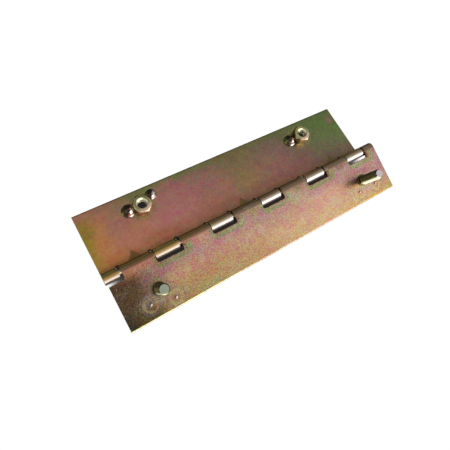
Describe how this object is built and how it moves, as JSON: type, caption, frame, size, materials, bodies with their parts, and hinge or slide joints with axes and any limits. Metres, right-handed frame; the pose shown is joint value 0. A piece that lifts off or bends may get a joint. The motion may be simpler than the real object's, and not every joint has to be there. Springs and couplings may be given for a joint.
{
  "type": "piano hinge",
  "caption": "Yellow-zinc steel piano hinge: two rolled-knuckle leaves on a pin, welded bolts on one leaf and welded nuts on the other.",
  "frame": {"origin": "on the bolt leaf's mounting face, midway between the two bolts", "axes": "+X along the pin, +Y from the bolt leaf to the nut leaf, +Z out of the mounting face, the way the bolts stand"},
  "size_m": [0.1936, 0.0685, 0.0302],
  "materials": {
    "bolt_leaf_plate": "yellow zinc plate with an iridescent chromate film, fine scratches, pinkish gold",
    "nut_leaf_plate": "yellow zinc plate with an iridescent chromate film, terracotta to green",
    "pin_steel": "yellow zinc plate, smooth drawn wire",
    "bolt_steel": "yellow zinc plate with an iridescent chromate film, dark olive, bright end",
    "nut_steel": "yellow zinc plate with an iridescent chromate film, pale gold",
    "weld_metal": "plated weld bead, smooth and mirror-like"
  },
  "bodies": {
    "bolt_side": {"bolt_leaf": "bolt_leaf_plate", "left_bolt": "bolt_steel", "right_bolt": "bolt_steel", "left_bolt_left_tack_weld": "weld_metal", "left_bolt_right_tack_weld": "weld_metal", "right_bolt_left_tack_weld": "weld_metal", "right_bolt_right_tack_weld": "weld_metal", "hinge_pin": "pin_steel"},
    "nut_side": {"nut_leaf": "nut_leaf_plate", "left_nut": "nut_steel", "right_nut": "nut_steel", "left_nut_left_tack_weld": "weld_metal", "left_nut_right_tack_weld": "weld_metal", "right_nut_left_tack_weld": "weld_metal", "right_nut_right_tack_weld": "weld_metal"}
  },
  "joints": [
    {"name": "leaf_swing", "type": "hinge", "parent": "bolt_side", "child": "nut_side", "pos_m": [0, 0.01725, -0.00325], "axis": [1, 0, 0], "range_deg": [-139, 141]}
  ]
}
